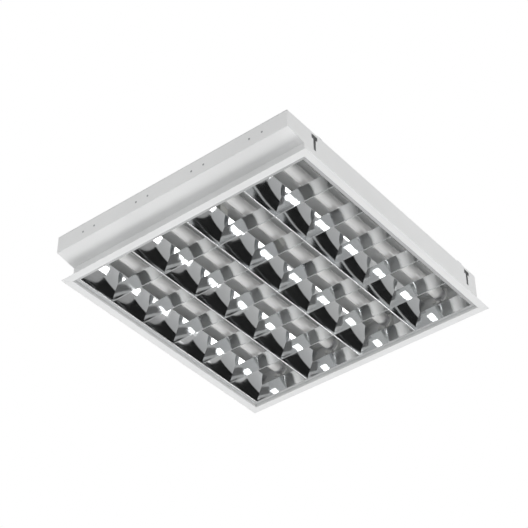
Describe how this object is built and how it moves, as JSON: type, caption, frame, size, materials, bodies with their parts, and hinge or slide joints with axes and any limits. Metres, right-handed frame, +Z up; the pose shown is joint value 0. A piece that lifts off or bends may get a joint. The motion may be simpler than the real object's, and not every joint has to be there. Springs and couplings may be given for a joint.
{
  "type": "recessed troffer light",
  "caption": "Square recessed ceiling luminaire: folded steel housing, straight tubes in rotary lampholders and a hinged double-parabolic louvre.",
  "frame": {"origin": "middle of the trim flange's underside, in the plane of the ceiling grid", "axes": "+Z up into the ceiling void, +X along the tubes towards the flat end wall, +Y towards the free side of the louvre"},
  "size_m": [0.6272, 0.595, 0.084],
  "materials": {
    "white_steel": "satin white powder coat",
    "zinc_steel": "bright zinc plate",
    "bright_aluminium": "mirror-bright anodised",
    "coated_glass": "gloss, opaque white coating inside",
    "cap_aluminium": "satin",
    "pin_brass": "satin",
    "white_plastic": "semi-gloss",
    "grey_plastic": "matt",
    "light_plastic": "matt",
    "grommet_rubber": "matt",
    "wire_insulation": "satin"
  },
  "bodies": {
    "housing": {"ballast_cover": "zinc_steel", "ballast_leads": "wire_insulation", "ballast_screws": "zinc_steel", "ballast_terminals": "light_plastic", "ballast_tray": "zinc_steel", "cable_grommet": "grommet_rubber", "earth_stud": "zinc_steel", "end_neck_stepped": "white_steel", "end_wall_flat": "white_steel", "end_wall_stepped": "white_steel", "hinge_brackets": "zinc_steel", "hinge_wires": "zinc_steel", "holder_pegs_flat": "grey_plastic", "holder_pegs_stepped": "grey_plastic", "housing_body": "white_steel", "lampholder_flat_1": "white_plastic", "lampholder_flat_2": "white_plastic", "lampholder_flat_3": "white_plastic", "lampholder_flat_4": "white_plastic", "lampholder_stepped_1": "white_plastic", "lampholder_stepped_2": "white_plastic", "lampholder_stepped_3": "white_plastic", "lampholder_stepped_4": "white_plastic", "loom_flat": "wire_insulation", "loom_saddles": "wire_insulation", "loom_stepped": "wire_insulation", "louvre_clips": "zinc_steel", "mains_leads": "wire_insulation", "mains_terminal_block": "light_plastic", "suspension_lugs": "zinc_steel", "terminal_screws": "zinc_steel"},
    "louvre": {"cross_blades_1": "bright_aluminium", "cross_blades_2": "bright_aluminium", "cross_blades_3": "bright_aluminium", "cross_blades_4": "bright_aluminium", "cross_blades_5": "bright_aluminium", "end_reflector_flat": "bright_aluminium", "end_reflector_stepped": "bright_aluminium", "louvre_hinge_lugs": "zinc_steel", "reflector_1": "bright_aluminium", "reflector_2": "bright_aluminium", "reflector_3": "bright_aluminium", "side_reflector_free": "bright_aluminium", "side_reflector_hinged": "bright_aluminium"},
    "lamp_1": {"lamp_tube_1": "coated_glass", "lamp_caps_1": "cap_aluminium", "lamp_pins_1": "pin_brass", "lamp_rotors_1": "white_plastic"},
    "lamp_2": {"lamp_tube_2": "coated_glass", "lamp_caps_2": "cap_aluminium", "lamp_pins_2": "pin_brass", "lamp_rotors_2": "white_plastic"},
    "lamp_3": {"lamp_tube_3": "coated_glass", "lamp_caps_3": "cap_aluminium", "lamp_pins_3": "pin_brass", "lamp_rotors_3": "white_plastic"},
    "lamp_4": {"lamp_tube_4": "coated_glass", "lamp_caps_4": "cap_aluminium", "lamp_pins_4": "pin_brass", "lamp_rotors_4": "white_plastic"}
  },
  "joints": [
    {"name": "louvre_hinge", "type": "hinge", "parent": "housing", "child": "louvre", "pos_m": [0, -0.2755, 0.0077], "axis": [-1, 0, 0], "range_deg": [0, 90]},
    {"name": "lamp_1_twist", "type": "hinge", "parent": "housing", "child": "lamp_1", "pos_m": [-0.0235, -0.20452, 0.062], "axis": [1, 0, 0], "range_deg": [0, 90]},
    {"name": "lamp_2_twist", "type": "hinge", "parent": "housing", "child": "lamp_2", "pos_m": [-0.0235, -0.06817, 0.062], "axis": [1, 0, 0], "range_deg": [0, 90]},
    {"name": "lamp_3_twist", "type": "hinge", "parent": "housing", "child": "lamp_3", "pos_m": [-0.0235, 0.06817, 0.062], "axis": [1, 0, 0], "range_deg": [0, 90]},
    {"name": "lamp_4_twist", "type": "hinge", "parent": "housing", "child": "lamp_4", "pos_m": [-0.0235, 0.20452, 0.062], "axis": [1, 0, 0], "range_deg": [0, 90]}
  ]
}
